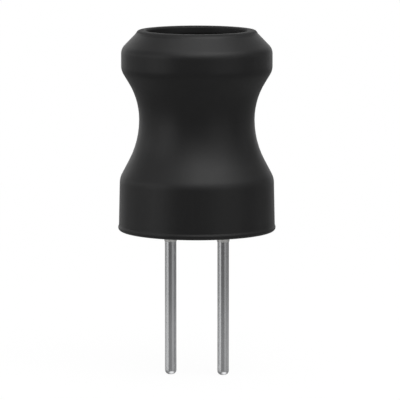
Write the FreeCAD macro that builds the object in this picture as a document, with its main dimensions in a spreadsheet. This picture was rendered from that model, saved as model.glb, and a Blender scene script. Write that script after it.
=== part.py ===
import FreeCAD, Part
import math
import os

import Sketcher
from FreeCAD import Vector

# Drum core inductor with two leads, dressed in a heat-shrink tube
# Millimetres and degrees. +Z is up, the leads point down, and their row lies along X.
# The origin is on the drum's axis, in the plane of the tube's lower edge, where the board lies.

DRIVING = [
    ("lead_pitch", 5.08, "distance between the two leads' axes, two steps of the 0.1 inch grid"),
    ("lead_radius", 0.56, "radius of a lead's free stretch"),
    ("lead_reach", 14.1, "lead tips below the board plane"),
    ("lead_tip_round", 0.42, "rounding of a lead's tip"),
    ("lead_end_bevel", 0.08, "bevel of a lead's upper end, inside the drum"),
    ("neck_radius", 0.40, "radius of a lead's thinner upper stretch, which takes the wire"),
    ("neck_depth", 0.35, "where the neck ends below the board plane"),
    ("neck_taper", 0.12, "height of the step from the neck to the free stretch"),
    ("lead_embed", 2.9, "length of a lead inside the drum's base flange"),
    ("glue_wall", 0.34, "thickness of the adhesive around a lead"),
    ("glue_floor", 0.12, "thickness of the adhesive over a lead's upper end"),
    ("base_clearance", 0.55, "base flange above the board plane"),
    ("base_thickness", 4.45, "thickness of the drum's base flange"),
    ("base_radius", 6.75, "radius of the base flange"),
    ("window_height", 10.5, "space for the wire between the two flanges"),
    ("post_radius", 2.80, "radius of the drum's post"),
    ("post_fillet", 0.25, "rounding where the post meets the flanges"),
    ("upper_thickness", 1.94, "thickness of the drum's upper flange"),
    ("upper_radius", 6.60, "radius of the upper flange"),
    ("edge_bevel", 0.40, "bevel on the flanges' rims"),
    ("wire_diameter", 0.50, "enamelled wire"),
    ("turn_gap", 0.02, "space between turns, and between the wire and what is beside it"),
    ("layer_rise", 0.45, "how far each layer of wire stands out over the one below"),
    ("layer_count", 4, "layers of wire, an even number so that both ends are at the base"),
    ("tail_inset", 0.70, "wire ends inside the base flange's rim, where they pass it"),
    ("tail_bend", 0.60, "bend radius of the wire ends"),
    ("slot_gap", 0.30, "space around a wire end in its slot in the base flange"),
    ("hook_gap", 0.05, "solder between the wire's hook and the lead's neck"),
    ("hook_angle", 235, "how far the hook goes round the lead"),
    ("solder_skin", 0.17, "solder over the outside of the hook"),
    ("solder_throat", 0.18, "radial thickness of the solder just under the board plane"),
    ("solder_throat_depth", 0.06, "depth of that throat"),
    ("solder_lip", 0.03, "radial thickness of the solder's lower edge on the lead"),
    ("solder_depth", 1.12, "lower edge of the solder below the board plane"),
    ("hug_gap", 0.02, "running gap between the tube and what it is shrunk onto"),
    ("band_wall", 0.63, "tube wall on the flanges"),
    ("waist_wall", 0.85, "tube wall at the waist, where it has shrunk furthest"),
    ("rim_wall", 0.82, "width of the tube's upper edge, seen from above"),
    ("waist_lift", 0.44, "narrowest place above the middle of the winding space"),
    ("waist_flat", 0.04, "straight stretch at the waist"),
    ("low_bow", 2.08, "from the waist down to where the slope below it would meet it"),
    ("high_bow", 1.92, "from the waist up to where the slope above it would meet it"),
    ("shoulder_lift", 0.31, "tube's corner at the shoulder, above the base flange's straight rim"),
    ("under_drop", 0.29, "tube's corner under the upper flange, below that flange's straight rim"),
    ("upper_bend", 0.47, "inner bend of the tube over the upper flange"),
    ("cone_slope", 44.0, "angle between the axis and the cone above the upper flange"),
    ("mouth_rise", 1.83, "the tube's mouth above the drum's top face"),
    ("mouth_collar", 0.37, "height of the steeper collar under the mouth"),
    ("mouth_slope", 33.0, "angle between the axis and that collar"),
    ("mouth_knee", 0.40, "rounding between the cone and the collar"),
    ("mouth_round", 0.15, "rounding of the mouth's edges"),
    ("mouth_lip", 0.75, "height of the upright wall inside the mouth"),
    ("lip_bend", 0.30, "rounding between that wall and the cone's inside"),
    ("hem_flare", 0.10, "how much wider the tube is at its lower end than at the shoulder"),
    ("hem_bead", 0.07, "how far the lower edge's bead stands out"),
    ("hem_height", 0.38, "height of the bead's upright side"),
    ("hem_ramp", 0.18, "height of the ramp above the bead"),
    ("hem_round", 0.30, "rounding of the bead's lower edge"),
    ("hem_crease", 0.05, "rounding of the bead's other corners"),
]

DERIVED = [
    ("lead_place", "lead_pitch / 2", "distance of a lead from the drum's axis"),
    ("lead_tip", "-lead_reach", "height of a lead's tip"),
    ("neck_end", "-neck_depth", "height where the free stretch starts"),
    ("neck_step", "neck_end + neck_taper", "height where the neck starts to widen"),
    ("base_top", "base_clearance + base_thickness", "height of the base flange's upper face"),
    ("window_top", "base_top + window_height", "height of the upper flange's underside"),
    ("drum_top", "window_top + upper_thickness", "height of the drum's top face"),
    ("lead_top", "base_clearance + lead_embed", "height of a lead's upper end"),
    ("lead_top_bevel", "lead_top - lead_end_bevel", "height where that end's bevel starts"),
    ("lead_top_radius", "neck_radius - lead_end_bevel", "radius of a lead's upper end face"),
    ("hole_radius", "neck_radius + glue_wall", "radius of a lead's hole in the base flange"),
    ("hole_top", "lead_top + glue_floor", "height of that hole's floor"),
    ("base_bevel_low", "base_clearance + edge_bevel", "height where the base's lower bevel ends"),
    ("base_bevel_high", "base_top - edge_bevel", "height where the base's upper bevel starts"),
    ("base_face_radius", "base_radius - edge_bevel", "radius of the base flange's flat faces"),
    ("upper_bevel_low", "window_top + edge_bevel", "height where the upper flange's lower bevel ends"),
    ("upper_bevel_high", "drum_top - edge_bevel", "height where the upper flange's upper bevel starts"),
    ("upper_face_radius", "upper_radius - edge_bevel", "radius of the upper flange's flat faces"),
    ("wire_radius", "wire_diameter / 2", "half of the wire"),
    ("turn_pitch", "wire_diameter + turn_gap", "height from turn to turn"),
    ("turn_count", "floor((window_height - turn_gap) / turn_pitch)", "turns in each layer"),
    ("turn_rise", "(turn_count - 1) * turn_pitch", "height from the first turn to the last"),
    ("first_turn", "base_top + turn_gap + wire_radius", "height of the first turn"),
    ("coil_low", "first_turn - wire_radius", "lower end of the winding"),
    ("coil_high", "first_turn + turn_rise + wire_radius", "upper end of the winding"),
    ("coil_bore", "post_radius + turn_gap", "radius of the winding's bore"),
    ("coil_bore_end", "coil_bore + post_fillet", "radius of that bore at its ends"),
    ("coil_bevel_low", "coil_low + post_fillet", "height where the bore's lower bevel ends"),
    ("coil_bevel_high", "coil_high - post_fillet", "height where the bore's upper bevel starts"),
    ("ridge_place", "post_radius + turn_gap + wire_radius + (layer_count - 1) * layer_rise",
     "radius of the outer turns' middle"),
    ("coil_radius", "ridge_place + wire_radius", "radius over the outer turns"),
    ("tail_place", "base_radius - tail_inset", "distance of the wire ends from the axis"),
    ("tail_low", "base_clearance - turn_gap - wire_radius", "height of the wire under the base"),
    ("hook_radius", "neck_radius + hook_gap + wire_radius", "radius of the hook's middle"),
    ("tail_start", "ridge_place - wire_radius", "where the wire end starts, inside the winding"),
    ("slot_half", "wire_radius + slot_gap", "half the width of a wire slot"),
    ("slot_mouth", "base_radius + slot_gap", "where a wire slot's cut starts, outside the rim"),
    ("slot_side", "hook_radius + slot_half", "far side of a wire slot in plan"),
    ("solder_radius", "hook_radius + wire_radius + solder_skin", "radius of the solder's body"),
    ("solder_throat_radius", "lead_radius + solder_throat", "radius of the solder's throat"),
    ("solder_throat_low", "-solder_throat_depth", "height of the solder's throat"),
    ("solder_lip_radius", "lead_radius + solder_lip", "radius of the solder's lower edge"),
    ("solder_low", "-solder_depth", "height of the solder's lower edge"),
    ("cone_share", "tan(cone_slope / 2)", "run of a bend on the cone, for a radius of one"),
    ("shoulder_in", "base_radius + hug_gap", "tube's inner radius at the shoulder"),
    ("shoulder_out", "shoulder_in + band_wall", "tube's outer radius at the shoulder"),
    ("hem_in", "shoulder_in + hem_flare", "tube's inner radius at its lower end"),
    ("hem_out", "shoulder_out + hem_flare", "tube's outer radius above the bead"),
    ("bead_out", "hem_out + hem_bead", "radius of the bead"),
    ("bead_top", "hem_height + hem_ramp", "height where the bead ends"),
    ("waist_in", "coil_radius + hug_gap", "tube's inner radius at the waist"),
    ("waist_out", "waist_in + waist_wall", "tube's outer radius at the waist"),
    ("upper_in", "upper_radius + hug_gap", "tube's inner radius on the upper flange"),
    ("upper_out", "upper_in + band_wall", "tube's outer radius on the upper flange"),
    ("waist_up", "base_top + window_height / 2 + waist_lift", "height of the waist"),
    ("low_up", "waist_up - low_bow", "height of the corners below the waist"),
    ("high_up", "waist_up + high_bow", "height of the corners above the waist"),
    ("shoulder_in_up", "base_bevel_high + shoulder_lift", "inner corner at the shoulder"),
    ("low_in_share", "tan(atan((shoulder_in - waist_in) / (low_up - shoulder_in_up)) / 2)",
     "run of a bend on the lower slope's inside, for a radius of one"),
    ("shoulder_out_up", "shoulder_in_up + band_wall * low_in_share", "outer corner at the shoulder"),
    ("low_out_share", "tan(atan((shoulder_out - waist_out) / (low_up - shoulder_out_up)) / 2)",
     "run of a bend on the lower slope's outside, for a radius of one"),
    ("base_bend", "shoulder_lift / low_in_share", "inner bend at the shoulder"),
    ("base_bend_out", "base_bend + band_wall", "outer bend at the shoulder"),
    ("low_in_sweep", "(low_bow - waist_flat / 2) / low_in_share", "inner curve below the waist"),
    ("low_out_sweep", "(low_bow - waist_flat / 2) / low_out_share", "outer curve below the waist"),
    ("under_in_up", "upper_bevel_low - under_drop", "inner corner under the upper flange"),
    ("high_in_share", "tan(atan((upper_in - waist_in) / (under_in_up - high_up)) / 2)",
     "run of a bend on the upper slope's inside, for a radius of one"),
    ("under_out_up", "under_in_up - band_wall * high_in_share", "outer corner under the upper flange"),
    ("high_out_share", "tan(atan((upper_out - waist_out) / (under_out_up - high_up)) / 2)",
     "run of a bend on the upper slope's outside, for a radius of one"),
    ("under_bend", "under_drop / high_in_share", "inner bend under the upper flange"),
    ("under_bend_out", "under_bend + band_wall", "outer bend under the upper flange"),
    ("high_in_sweep", "(high_bow - waist_flat / 2) / high_in_share", "inner curve above the waist"),
    ("high_out_sweep", "(high_bow - waist_flat / 2) / high_out_share", "outer curve above the waist"),
    ("upper_in_up", "upper_bevel_high + upper_bend * cone_share", "inner corner over the upper flange"),
    ("upper_out_up", "upper_in_up + band_wall * cone_share", "outer corner over the upper flange"),
    ("upper_bend_out", "upper_bend + band_wall", "outer bend over the upper flange"),
    ("mouth_up", "drum_top + mouth_rise", "height of the mouth"),
    ("knee_up", "mouth_up - mouth_collar", "height of the knee under the mouth"),
    ("knee_out", "upper_out - (knee_up - upper_out_up) * tan(cone_slope)", "radius of the knee"),
    ("mouth_out", "knee_out - mouth_collar * tan(mouth_slope)", "outer radius of the mouth"),
    ("mouth_in", "mouth_out - rim_wall", "inner radius of the mouth"),
    ("lip_low", "mouth_up - mouth_lip", "height where the upright wall inside the mouth ends"),
]

SIDES = {"left": -1, "right": 1}


def fill_sheet(doc):
    """Write the driving sizes and the sizes worked out from them, one row each."""
    sheet = doc.addObject("Spreadsheet::Sheet", "sizes")
    rows = [(name, str(number), note) for name, number, note in DRIVING]
    rows += [(name, "=" + formula, note) for name, formula, note in DERIVED]
    for row, (name, content, note) in enumerate(rows, start=1):
        sheet.set(f"A{row}", name)
        sheet.set(f"B{row}", content)
        sheet.set(f"C{row}", note)
        sheet.setAlias(f"B{row}", name)
    doc.recompute()
    return sheet


def size(sheet, name):
    """A size of the sheet as a plain number. None stands for the axis."""
    return float(sheet.get(name)) if name else 0.0


def origin_plane(body, role):
    """One of the body's own origin planes or axes, by its role."""
    return next(item for item in body.Origin.OriginFeatures if item.Role == role)


def new_body(doc, label):
    """An empty body that carries one sub-part."""
    body = doc.addObject("PartDesign::Body", label)
    body.Label = label
    return body


def new_sketch(body, name, role):
    """An empty sketch on one of the body's origin planes."""
    sketch = body.newObject("Sketcher::SketchObject", name)
    sketch.AttachmentSupport = [(origin_plane(body, role), "")]
    sketch.MapMode = "FlatFace"
    return sketch


def bind(sketch, constraint, formula):
    """Add a dimension to the sketch and tie it to the sheet."""
    index = sketch.addConstraint(constraint)
    sketch.setExpression(f"Constraints[{index}]", formula)


def pin_down(sheet, sketch, spot, across, up):
    """Hold a point of the sketch at two sizes of the sheet. None stands for the sketch's axis."""
    element, end = spot
    if across is None:
        sketch.addConstraint(Sketcher.Constraint("PointOnObject", element, end, -2))
    else:
        distance = Sketcher.Constraint("DistanceX", -1, 1, element, end, size(sheet, across))
        bind(sketch, distance, f"sizes.{across}")
    if up is None:
        sketch.addConstraint(Sketcher.Constraint("PointOnObject", element, end, -1))
    else:
        distance = Sketcher.Constraint("DistanceY", -1, 1, element, end, size(sheet, up))
        bind(sketch, distance, f"sizes.{up}")


def corner_points(spots, bends):
    """Where the straight sides stop before each corner and start again after it."""
    arrive = []
    leave = []
    for index, spot in enumerate(spots):
        if bends[index] == 0:
            arrive.append(spot)
            leave.append(spot)
            continue
        back = (spots[index - 1] - spot).normalize()
        ahead = (spots[(index + 1) % len(spots)] - spot).normalize()
        run = bends[index] / math.tan(back.getAngle(ahead) / 2)
        arrive.append(spot + back * run)
        leave.append(spot + ahead * run)
    return arrive, leave


def round_corner(sheet, sketch, before, after, corner, ends):
    """Join two straight sides by an arc that is tangent to both, its corner held by the sheet."""
    across, up, bend = corner
    start, finish = ends
    spot = Vector(size(sheet, across), size(sheet, up), 0)
    radius = size(sheet, bend)
    back = (start - spot).normalize()
    ahead = (finish - spot).normalize()
    middle = spot + (back + ahead).normalize() * (radius / math.sin(back.getAngle(ahead) / 2))
    turns_left = (spot - start).cross(finish - spot).z > 0
    first, last = (start, finish) if turns_left else (finish, start)
    from_angle = math.atan2(first.y - middle.y, first.x - middle.x)
    to_angle = math.atan2(last.y - middle.y, last.x - middle.x)
    if to_angle < from_angle:
        to_angle += 2 * math.pi
    circle = Part.Circle(middle, Vector(0, 0, 1), radius)
    arc = sketch.addGeometry(Part.ArcOfCircle(circle, from_angle, to_angle))
    near, far = (1, 2) if turns_left else (2, 1)
    sketch.addConstraint(Sketcher.Constraint("Tangent", before, 2, arc, near))
    sketch.addConstraint(Sketcher.Constraint("Tangent", arc, far, after, 1))
    bind(sketch, Sketcher.Constraint("Radius", arc, radius), f"sizes.{bend}")
    mark = sketch.addGeometry(Part.Point(spot), True)
    sketch.addConstraint(Sketcher.Constraint("PointOnObject", mark, 1, before))
    sketch.addConstraint(Sketcher.Constraint("PointOnObject", mark, 1, after))
    pin_down(sheet, sketch, (mark, 1), across, up)


def draw_outline(sheet, sketch, corners, closed=True):
    """Straight sides through the corners, each given as across, up and bend radius or None."""
    spots = [Vector(size(sheet, across), size(sheet, up), 0) for across, up, bend in corners]
    bends = [size(sheet, bend) for across, up, bend in corners]
    arrive, leave = corner_points(spots, bends)
    count = len(corners) if closed else len(corners) - 1
    sides = [sketch.addGeometry(Part.LineSegment(leave[i], arrive[(i + 1) % len(corners)]))
             for i in range(count)]
    for index, corner in enumerate(corners):
        across, up, bend = corner
        if not closed and index == len(corners) - 1:
            pin_down(sheet, sketch, (sides[-1], 2), across, up)
            continue
        if not closed and index == 0:
            pin_down(sheet, sketch, (sides[0], 1), across, up)
            continue
        before = sides[index - 1]
        after = sides[index]
        if bend:
            round_corner(sheet, sketch, before, after, corner, (arrive[index], leave[index]))
            continue
        sketch.addConstraint(Sketcher.Constraint("Coincident", before, 2, after, 1))
        pin_down(sheet, sketch, (after, 1), across, up)
    return sides


def turn(sheet, body, name, corners):
    """Revolve an outline about the body's upright axis."""
    sketch = new_sketch(body, f"{name}_outline", "XZ_Plane")
    draw_outline(sheet, sketch, corners)
    turned = body.newObject("PartDesign::Revolution", name)
    turned.Profile = sketch
    turned.ReferenceAxis = (sketch, ["V_Axis"])
    turned.Angle = 360
    return turned


def make_tube(doc, sheet):
    """The heat-shrink tube: hem bead, base band, waist, upper band, cone and open mouth."""
    body = new_body(doc, "heat_shrink_tube")
    outside = [
        ("bead_out", None, "hem_round"),
        ("bead_out", "hem_height", "hem_crease"),
        ("hem_out", "bead_top", "hem_crease"),
        ("shoulder_out", "shoulder_out_up", "base_bend_out"),
        ("waist_out", "low_up", "low_out_sweep"),
        ("waist_out", "high_up", "high_out_sweep"),
        ("upper_out", "under_out_up", "under_bend_out"),
        ("upper_out", "upper_out_up", "upper_bend_out"),
        ("knee_out", "knee_up", "mouth_knee"),
        ("mouth_out", "mouth_up", "mouth_round"),
    ]
    inside = [
        ("mouth_in", "mouth_up", "mouth_round"),
        ("mouth_in", "lip_low", "lip_bend"),
        ("upper_in", "upper_in_up", "upper_bend"),
        ("upper_in", "under_in_up", "under_bend"),
        ("waist_in", "high_up", "high_in_sweep"),
        ("waist_in", "low_up", "low_in_sweep"),
        ("shoulder_in", "shoulder_in_up", "base_bend"),
        ("hem_in", None, None),
    ]
    turn(sheet, body, "tube_wall", outside + inside)
    return body


def make_drum(doc, sheet):
    """The ferrite drum: thick base flange, post and upper flange, with lead holes and wire slots."""
    body = new_body(doc, "drum_core")
    turn(sheet, body, "drum_blank", [
        (None, "base_clearance", None),
        ("base_face_radius", "base_clearance", None),
        ("base_radius", "base_bevel_low", None),
        ("base_radius", "base_bevel_high", None),
        ("base_face_radius", "base_top", None),
        ("post_radius", "base_top", "post_fillet"),
        ("post_radius", "window_top", "post_fillet"),
        ("upper_face_radius", "window_top", None),
        ("upper_radius", "upper_bevel_low", None),
        ("upper_radius", "upper_bevel_high", None),
        ("upper_face_radius", "drum_top", None),
        (None, "drum_top", None),
    ])
    hole = cut_lead_hole(sheet, body)
    slot = cut_wire_slot(sheet, body)
    repeat_opposite(body, "second_side", [hole, slot])
    return body


def plan_sketch(body, name, height):
    """A sketch in plan, raised to a height of the sheet."""
    sketch = new_sketch(body, name, "XY_Plane")
    sketch.setExpression("AttachmentOffset.Base.z", f"sizes.{height}")
    return sketch


def cut_lead_hole(sheet, body):
    """Blind hole in the base flange for one lead and its adhesive."""
    sketch = plan_sketch(body, "lead_hole_plan", "base_clearance")
    middle = Vector(size(sheet, "lead_place"), 0, 0)
    radius = size(sheet, "hole_radius")
    circle = sketch.addGeometry(Part.Circle(middle, Vector(0, 0, 1), radius))
    bind(sketch, Sketcher.Constraint("Radius", circle, radius), "sizes.hole_radius")
    pin_down(sheet, sketch, (circle, 3), "lead_place", None)
    hole = body.newObject("PartDesign::Pocket", "lead_hole")
    hole.Profile = sketch
    hole.Reversed = True
    hole.setExpression("Length", "sizes.hole_top - sizes.base_clearance")
    return hole


def cut_wire_slot(sheet, body):
    """Open slot through the base flange's rim for one wire end, with a round inner end."""
    sketch = plan_sketch(body, "wire_slot_plan", "base_clearance")
    high = size(sheet, "slot_side")
    inner = size(sheet, "tail_place")
    outer = size(sheet, "slot_mouth")
    middle = Vector(inner, size(sheet, "hook_radius"), 0)
    low = 2 * middle.y - high
    upper = sketch.addGeometry(Part.LineSegment(Vector(outer, high, 0), Vector(inner, high, 0)))
    circle = Part.Circle(middle, Vector(0, 0, 1), size(sheet, "slot_half"))
    end = sketch.addGeometry(Part.ArcOfCircle(circle, math.pi / 2, 3 * math.pi / 2))
    lower = sketch.addGeometry(Part.LineSegment(Vector(inner, low, 0), Vector(outer, low, 0)))
    mouth = sketch.addGeometry(Part.LineSegment(Vector(outer, low, 0), Vector(outer, high, 0)))
    sketch.addConstraint(Sketcher.Constraint("Tangent", upper, 2, end, 1))
    sketch.addConstraint(Sketcher.Constraint("Tangent", end, 2, lower, 1))
    sketch.addConstraint(Sketcher.Constraint("Coincident", lower, 2, mouth, 1))
    sketch.addConstraint(Sketcher.Constraint("Coincident", mouth, 2, upper, 1))
    sketch.addConstraint(Sketcher.Constraint("Horizontal", upper))
    sketch.addConstraint(Sketcher.Constraint("Horizontal", lower))
    sketch.addConstraint(Sketcher.Constraint("Vertical", mouth))
    pin_down(sheet, sketch, (end, 3), "tail_place", "hook_radius")
    pin_down(sheet, sketch, (mouth, 2), "slot_mouth", "slot_side")
    slot = body.newObject("PartDesign::Pocket", "wire_slot")
    slot.Profile = sketch
    slot.Reversed = True
    slot.setExpression("Length", "sizes.base_thickness")
    return slot


def repeat_opposite(body, name, features):
    """Repeat features once more, half a turn round the body's upright axis."""
    pattern = body.newObject("PartDesign::PolarPattern", name)
    pattern.Originals = features
    pattern.Axis = (origin_plane(body, "Z_Axis"), [""])
    pattern.Angle = 360
    pattern.Occurrences = 2
    body.Tip = pattern


def make_winding(doc, sheet):
    """The winding: packed layers with ridged outer turns, and two wire ends hooked round the leads."""
    body = new_body(doc, "winding")
    turn(sheet, body, "packed_layers", [
        ("coil_bore_end", "coil_low", None),
        ("ridge_place", "coil_low", None),
        ("ridge_place", "coil_high", None),
        ("coil_bore_end", "coil_high", None),
        ("coil_bore", "coil_bevel_high", None),
        ("coil_bore", "coil_bevel_low", None),
    ])
    lay_outer_turns(sheet, body)
    tail = lead_wire_out(sheet, body)
    hook = hook_wire(sheet, body)
    repeat_opposite(body, "second_end", [tail, hook])
    return body


def ring_section(sheet, body, name, role, across, up):
    """A sketch with the wire's round section at a place of the sheet."""
    sketch = new_sketch(body, name, role)
    middle = Vector(size(sheet, across), size(sheet, up), 0)
    circle = sketch.addGeometry(Part.Circle(middle, Vector(0, 0, 1), size(sheet, "wire_radius")))
    bind(sketch, Sketcher.Constraint("Radius", circle, size(sheet, "wire_radius")), "sizes.wire_radius")
    pin_down(sheet, sketch, (circle, 3), across, up)
    return sketch


def lay_outer_turns(sheet, body):
    """One outer turn, repeated up the winding."""
    sketch = ring_section(sheet, body, "outer_turn_section", "XZ_Plane", "ridge_place", "first_turn")
    ring = body.newObject("PartDesign::Revolution", "outer_turn")
    ring.Profile = sketch
    ring.ReferenceAxis = (sketch, ["V_Axis"])
    ring.Angle = 360
    turns = body.newObject("PartDesign::LinearPattern", "outer_turns")
    turns.Originals = [ring]
    turns.Direction = (origin_plane(body, "Z_Axis"), [""])
    turns.setExpression("Length", "sizes.turn_rise")
    turns.setExpression("Occurrences", "sizes.turn_count")
    body.Tip = turns


def lead_wire_out(sheet, body):
    """One wire end: out over the base flange, down its slot and in below it to the lead."""
    route = new_sketch(body, "wire_end_route", "XZ_Plane")
    route.setExpression("AttachmentOffset.Base.z", "-sizes.hook_radius")
    draw_outline(sheet, route, [
        ("tail_start", "first_turn", None),
        ("tail_place", "first_turn", "tail_bend"),
        ("tail_place", "tail_low", "tail_bend"),
        ("lead_place", "tail_low", None),
    ], closed=False)
    section = ring_section(sheet, body, "wire_end_section", "YZ_Plane", "hook_radius", "first_turn")
    section.setExpression("AttachmentOffset.Base.z", "sizes.tail_start")
    tail = body.newObject("PartDesign::AdditivePipe", "wire_end")
    tail.Profile = section
    tail.Spine = route
    return tail


def hook_wire(sheet, body):
    """The hook that the wire end makes round its lead, under the base flange."""
    sketch = ring_section(sheet, body, "hook_section", "YZ_Plane", "hook_radius", "tail_low")
    sketch.setExpression("AttachmentOffset.Base.z", "sizes.lead_place")
    hook = body.newObject("PartDesign::Revolution", "hook")
    hook.Profile = sketch
    hook.ReferenceAxis = (sketch, ["V_Axis"])
    hook.setExpression("Angle", "sizes.hook_angle")
    return hook


def make_lead(doc, sheet, side, sign):
    """One lead: thin neck in the drum, step, free stretch and rounded tip."""
    body = new_body(doc, f"lead_pin_{side}")
    turn(sheet, body, f"lead_{side}_turned", [
        (None, "lead_tip", None),
        ("lead_radius", "lead_tip", "lead_tip_round"),
        ("lead_radius", "neck_end", None),
        ("neck_radius", "neck_step", None),
        ("neck_radius", "lead_top_bevel", None),
        ("lead_top_radius", "lead_top", None),
        (None, "lead_top", None),
    ])
    body.setExpression("Placement.Base.x", f"{sign} * sizes.lead_place")
    return body


def make_adhesive(doc, sheet, side, sign):
    """The cup of adhesive that holds one lead in its hole."""
    body = new_body(doc, f"lead_adhesive_{side}")
    turn(sheet, body, f"adhesive_{side}_cup", [
        ("neck_radius", "base_clearance", None),
        ("hole_radius", "base_clearance", None),
        ("hole_radius", "hole_top", None),
        (None, "hole_top", None),
        (None, "lead_top", None),
        ("lead_top_radius", "lead_top", None),
        ("neck_radius", "lead_top_bevel", None),
    ])
    body.setExpression("Placement.Base.x", f"{sign} * sizes.lead_place")
    return body


def make_solder(doc, sheet, side, sign, winding):
    """The solder round one hooked wire end, drawn down to a thin edge on the lead."""
    blank = new_body(doc, f"solder_blank_{side}")
    turn(sheet, blank, f"solder_{side}_turned", [
        ("neck_radius", "base_clearance", None),
        ("neck_radius", "neck_step", None),
        ("lead_radius", "neck_end", None),
        ("lead_radius", "solder_low", None),
        ("solder_lip_radius", "solder_low", None),
        ("solder_throat_radius", "solder_throat_low", None),
        ("solder_radius", "tail_low", None),
        ("solder_radius", "base_clearance", None),
    ])
    blank.setExpression("Placement.Base.x", f"{sign} * sizes.lead_place")
    joint = doc.addObject("Part::Cut", f"solder_joint_{side}")
    joint.Label = f"solder_joint_{side}"
    joint.Base = blank
    joint.Tool = winding
    return joint


def check_document(doc):
    """Stop if any object failed to recompute."""
    for item in doc.Objects:
        faults = {"Invalid", "Error"} & set(item.State)
        if faults:
            raise RuntimeError(f"{item.Label} is {faults}")


def write_parts(parts):
    """Check each sub-part's solid and write it under its label."""
    os.makedirs("parts", exist_ok=True)
    for item in parts:
        shape = item.Shape
        if shape.isNull() or not shape.isValid() or len(shape.Solids) != 1:
            raise RuntimeError(f"{item.Label} is not one valid solid")
    for item in parts:
        item.Shape.exportStep(f"parts/{item.Label}.step")
        print(f"{item.Label}: {item.Shape.Volume:.2f} mm3")


def main():
    """Build every sub-part, check them and write them."""
    doc = FreeCAD.newDocument("drum_core_inductor")
    sheet = fill_sheet(doc)
    winding = make_winding(doc, sheet)
    parts = [make_tube(doc, sheet), make_drum(doc, sheet), winding]
    for side, sign in SIDES.items():
        parts.append(make_lead(doc, sheet, side, sign))
        parts.append(make_adhesive(doc, sheet, side, sign))
        parts.append(make_solder(doc, sheet, side, sign, winding))
    doc.recompute()
    check_document(doc)
    write_parts(parts)


main()
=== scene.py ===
"""Drum core inductor in a black heat-shrink tube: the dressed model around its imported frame.

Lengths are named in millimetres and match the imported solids, and only the lamps' are in metres.
Heights are measured from the board plane, in which the tube's lower edge lies. Meshes are
written in metres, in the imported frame.
"""
from __future__ import annotations

import logging
import math
from abc import ABC, abstractmethod
from collections.abc import Mapping, Sequence
from dataclasses import dataclass, field
from enum import Enum

import bpy
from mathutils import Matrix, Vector


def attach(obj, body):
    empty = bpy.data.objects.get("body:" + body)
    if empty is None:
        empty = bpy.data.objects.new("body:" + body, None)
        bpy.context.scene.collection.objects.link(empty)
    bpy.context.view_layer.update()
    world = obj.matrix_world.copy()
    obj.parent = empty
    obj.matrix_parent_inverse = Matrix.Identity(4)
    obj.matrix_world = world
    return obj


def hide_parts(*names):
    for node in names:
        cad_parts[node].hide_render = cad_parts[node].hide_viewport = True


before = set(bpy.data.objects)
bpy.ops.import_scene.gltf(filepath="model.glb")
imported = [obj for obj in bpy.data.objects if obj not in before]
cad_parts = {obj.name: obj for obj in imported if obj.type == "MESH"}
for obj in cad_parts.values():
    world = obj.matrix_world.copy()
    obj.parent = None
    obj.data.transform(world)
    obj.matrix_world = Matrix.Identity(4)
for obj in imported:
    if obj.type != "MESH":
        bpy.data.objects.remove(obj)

MM = 0.001
LEAD_PLACE = 2.54
LEAD_RADIUS = 0.56
NECK_RADIUS = 0.40
NECK_STEP = (-0.35, -0.23)
PICTURE_WIDTH = 400

log = logging.getLogger("drum_core_inductor")

Colour = tuple[float, float, float]
Triple = tuple[float, float, float]
Span = tuple[float, float]
Feed = bpy.types.NodeSocket | float | int | str | tuple | bpy.types.ID


class Side(Enum):
    """Which of the two leads a piece belongs to, with the sign of its place along X."""

    LEFT = -1
    RIGHT = 1

    @property
    def label(self) -> str:
        """The side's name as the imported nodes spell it."""
        return self.name.lower()


def metres(lengths: tuple[float, ...]) -> tuple[float, ...]:
    """Lengths, turned from millimetres into metres."""
    return tuple(length * MM for length in lengths)


class Bench:
    """Lays out one node tree: adds nodes, sets their sockets and joins them."""

    def __init__(self, tree: bpy.types.NodeTree) -> None:
        """Take a tree to work on.

        Args:
            tree: A shader, world or geometry tree.
        """
        self.tree = tree

    def feed(self, socket: bpy.types.NodeSocket, value: Feed) -> None:
        """Link a socket to another node's output, or set its value.

        Args:
            socket: The input to fill.
            value: An output socket, or a plain value.
        """
        if isinstance(value, bpy.types.NodeSocket):
            self.tree.links.new(value, socket)
        else:
            socket.default_value = value

    def add(
        self, kind: str, inputs: Mapping[str | int, Feed] | None = None, **settings: object
    ) -> bpy.types.Node:
        """Add a node.

        Args:
            kind: The node's type name.
            inputs: What goes into its sockets, by name or number.
            **settings: The node's own options.

        Returns:
            The new node.
        """
        node = self.tree.nodes.new(kind)
        for name, value in settings.items():
            setattr(node, name, value)
        for key, value in (inputs or {}).items():
            self.feed(node.inputs[key], value)
        return node

    def math(self, operation: str, *terms: Feed) -> bpy.types.NodeSocket:
        """Work out one number.

        Args:
            operation: The Math node's operation.
            *terms: Its operands.

        Returns:
            The result's socket.
        """
        return self.add("ShaderNodeMath", dict(enumerate(terms)), operation=operation).outputs[0]

    def span(self, value: Feed, low: Feed, high: Feed) -> bpy.types.NodeSocket:
        """Spread a value from 0..1 over a range.

        Args:
            value: The number from 0 to 1.
            low: What 0 becomes.
            high: What 1 becomes.

        Returns:
            The result's socket.
        """
        inputs = {"Value": value, "To Min": low, "To Max": high}
        return self.add("ShaderNodeMapRange", inputs).outputs[0]

    def ease(self, value: Feed, start: float, end: float) -> bpy.types.NodeSocket:
        """Turn a value into a soft step from 0 to 1.

        Args:
            value: The number to turn.
            start: Where the step starts.
            end: Where it ends.

        Returns:
            The result's socket.
        """
        inputs = {"Value": value, "From Min": start, "From Max": end}
        return self.add("ShaderNodeMapRange", inputs, interpolation_type="SMOOTHSTEP").outputs[0]


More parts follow.
